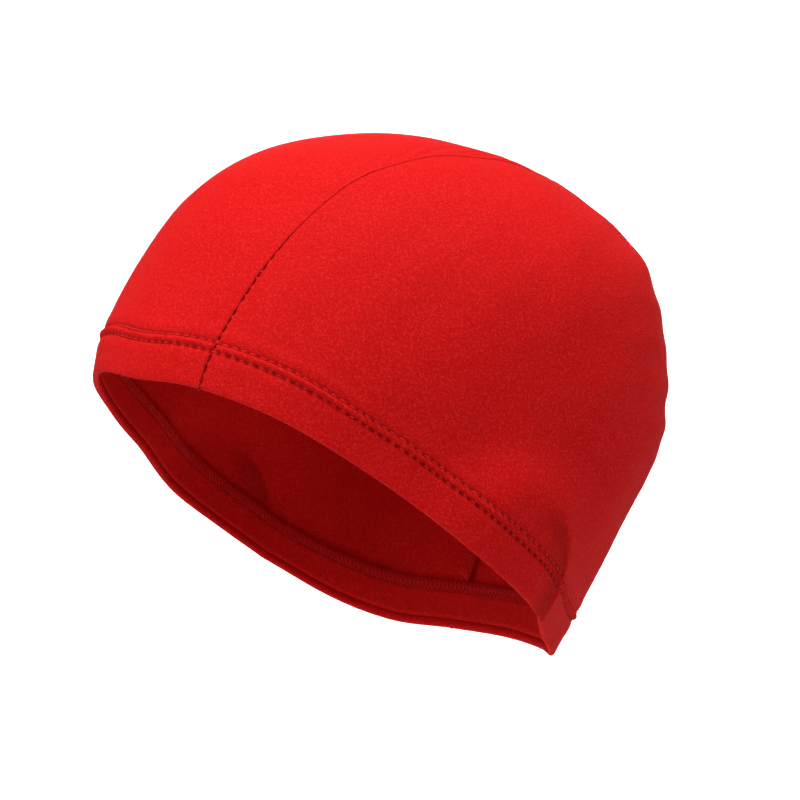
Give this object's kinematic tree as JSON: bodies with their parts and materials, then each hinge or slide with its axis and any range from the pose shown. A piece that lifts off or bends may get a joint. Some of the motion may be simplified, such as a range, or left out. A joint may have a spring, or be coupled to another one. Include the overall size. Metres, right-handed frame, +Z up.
{
  "type": "swim cap",
  "caption": "Three-panel stretch-knit swim cap in its worn shape, open below, with a turned-up double hem that dips from brow to nape",
  "frame": {"origin": "the inside of the crown, where the cap sits on the top of the wearer's head", "axes": "+Z up, -Y the way the wearer faces, +X the wearer's left"},
  "size_m": [0.1686, 0.1956, 0.1693],
  "materials": {
    "knit_panel": "matte fine warp knit, bright red",
    "knit_hem": "matte fine warp knit, bright red, turned up double and coverstitched"
  },
  "bodies": {
    "root": {"centre_panel": "knit_panel", "left_panel": "knit_panel", "right_panel": "knit_panel", "front_hem": "knit_hem", "left_hem": "knit_hem", "right_hem": "knit_hem", "back_hem": "knit_hem"}
  },
  "joints": []
}
